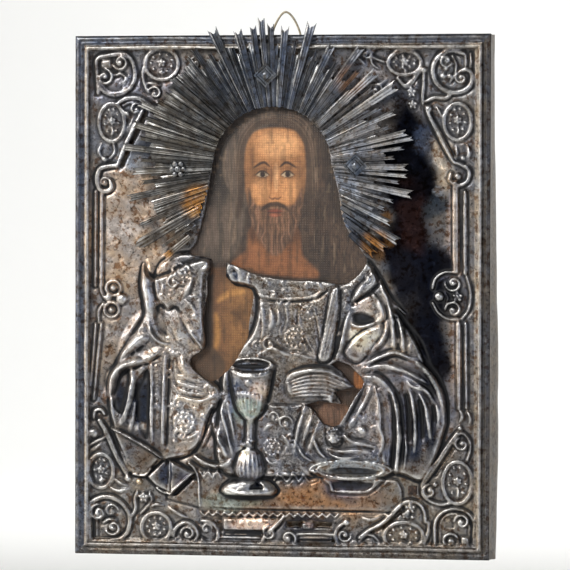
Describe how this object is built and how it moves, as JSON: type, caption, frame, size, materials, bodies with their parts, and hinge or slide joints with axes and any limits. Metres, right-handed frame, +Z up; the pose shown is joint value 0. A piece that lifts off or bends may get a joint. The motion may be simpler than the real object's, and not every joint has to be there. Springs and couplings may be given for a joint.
{
  "type": "icon panel",
  "caption": "Small painted household icon on a wooden board, under an embossed silver cover with windows for face and hands, a rayed halo and a wire hanging loop.",
  "frame": {"origin": "the point on the inside of the hanging loop's top where a hook bears", "axes": "+Z up, the picture faces -Y, the board's flat back faces +Y, +X is to the right seen from the front"},
  "size_m": [0.1811, 0.0318, 0.2357],
  "materials": {
    "board_wood": "old dark limewood, waxed by handling",
    "paint": "aged tempera under darkened drying oil on cloth and gesso",
    "cover_silver": "embossed silver plate, tarnished grey, brown and blue-black",
    "halo_silver": "pleated silver plate, tarnished, with coppery and gilt traces",
    "wire": "dull tan wire",
    "nail_iron": "rusty small nails"
  },
  "bodies": {
    "root": {"wooden_board": "board_wood", "painted_ground": "paint", "metal_cover": "cover_silver", "rayed_halo": "halo_silver", "hanging_wire": "wire", "halo_stud_top": "halo_silver", "halo_stud_right": "halo_silver", "halo_stud_left": "halo_silver", "cover_nail_left": "nail_iron", "cover_nail_right": "nail_iron"}
  },
  "joints": []
}
